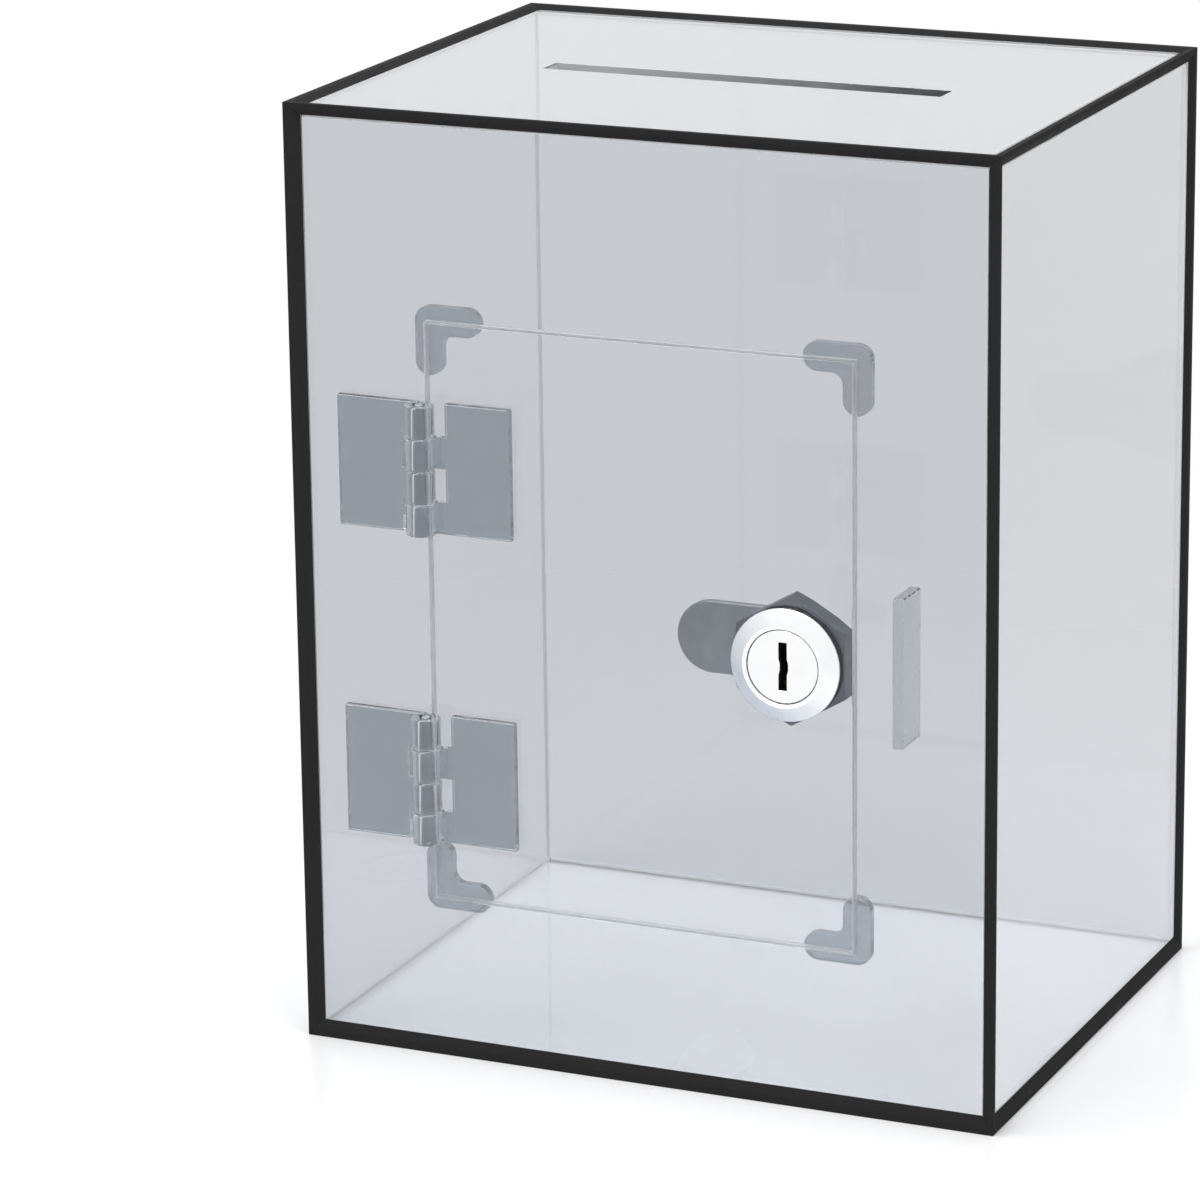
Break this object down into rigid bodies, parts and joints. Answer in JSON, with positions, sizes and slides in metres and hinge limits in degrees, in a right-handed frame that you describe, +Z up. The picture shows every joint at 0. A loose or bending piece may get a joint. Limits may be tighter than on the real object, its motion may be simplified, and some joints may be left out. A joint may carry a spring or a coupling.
{
  "type": "acrylic money box",
  "caption": "Clear acrylic money box with black edge strips, a long money slot in the top, and a front door on clear hinges with a cam lock.",
  "frame": {"origin": "on the ground, under the middle of the whole box's bounding box", "axes": "+Z up, +X to the right as the front is seen, -Y out of the front with the door"},
  "size_m": [0.192, 0.1572, 0.25],
  "materials": {
    "clear_acrylic": "clear polished sheet with a faint blue-grey tint",
    "smoke_acrylic": "clear polished moulding with a deeper grey tint",
    "black_strip": "satin black",
    "chrome": "bright plated",
    "plated_steel": "satin zinc plated",
    "brass": "stamped"
  },
  "bodies": {
    "case": {"front_panel": "clear_acrylic", "back_panel": "clear_acrylic", "left_panel": "clear_acrylic", "right_panel": "clear_acrylic", "top_panel": "clear_acrylic", "bottom_panel": "clear_acrylic", "trim_top_front": "black_strip", "trim_top_back": "black_strip", "trim_top_left": "black_strip", "trim_top_right": "black_strip", "trim_bottom_front": "black_strip", "trim_bottom_back": "black_strip", "trim_bottom_left": "black_strip", "trim_bottom_right": "black_strip", "trim_front_left": "black_strip", "trim_front_right": "black_strip", "trim_back_left": "black_strip", "trim_back_right": "black_strip", "door_stop_top_left": "smoke_acrylic", "door_stop_top_right": "smoke_acrylic", "door_stop_bottom_right": "smoke_acrylic", "door_stop_bottom_left": "smoke_acrylic", "latch_strike": "smoke_acrylic", "upper_hinge_frame_leaf": "smoke_acrylic", "upper_hinge_pin": "smoke_acrylic", "lower_hinge_frame_leaf": "smoke_acrylic", "lower_hinge_pin": "smoke_acrylic"},
    "door": {"door_panel": "clear_acrylic", "upper_hinge_door_leaf": "smoke_acrylic", "lower_hinge_door_leaf": "smoke_acrylic", "lock_housing": "chrome", "lock_nut": "plated_steel"},
    "lock_core": {"lock_plug": "chrome", "lock_cam": "plated_steel", "cam_washer": "plated_steel", "cam_screw": "plated_steel", "wafer_spring_1": "plated_steel", "wafer_spring_2": "plated_steel", "wafer_spring_3": "plated_steel", "wafer_spring_4": "plated_steel", "wafer_spring_5": "plated_steel"},
    "wafers": {"wafer_1": "brass", "wafer_2": "brass", "wafer_3": "brass", "wafer_4": "brass", "wafer_5": "brass"}
  },
  "joints": [
    {"name": "door_hinge", "type": "hinge", "parent": "case", "child": "door", "pos_m": [-0.058, -0.07465, 0.117], "axis": [0, 0, -1], "range_deg": [0, 180]},
    {"name": "lock_turn", "type": "hinge", "parent": "door", "child": "lock_core", "pos_m": [0.04, -0.07045, 0.117], "axis": [0, 1, 0], "range_deg": [0, 180]},
    {"name": "wafer_rise", "type": "slide", "parent": "lock_core", "child": "wafers", "axis": [0, 0, 1], "range_m": [0, 0.0012], "deforming": ["wafer_spring_1", "wafer_spring_2", "wafer_spring_3", "wafer_spring_4", "wafer_spring_5"]}
  ]
}
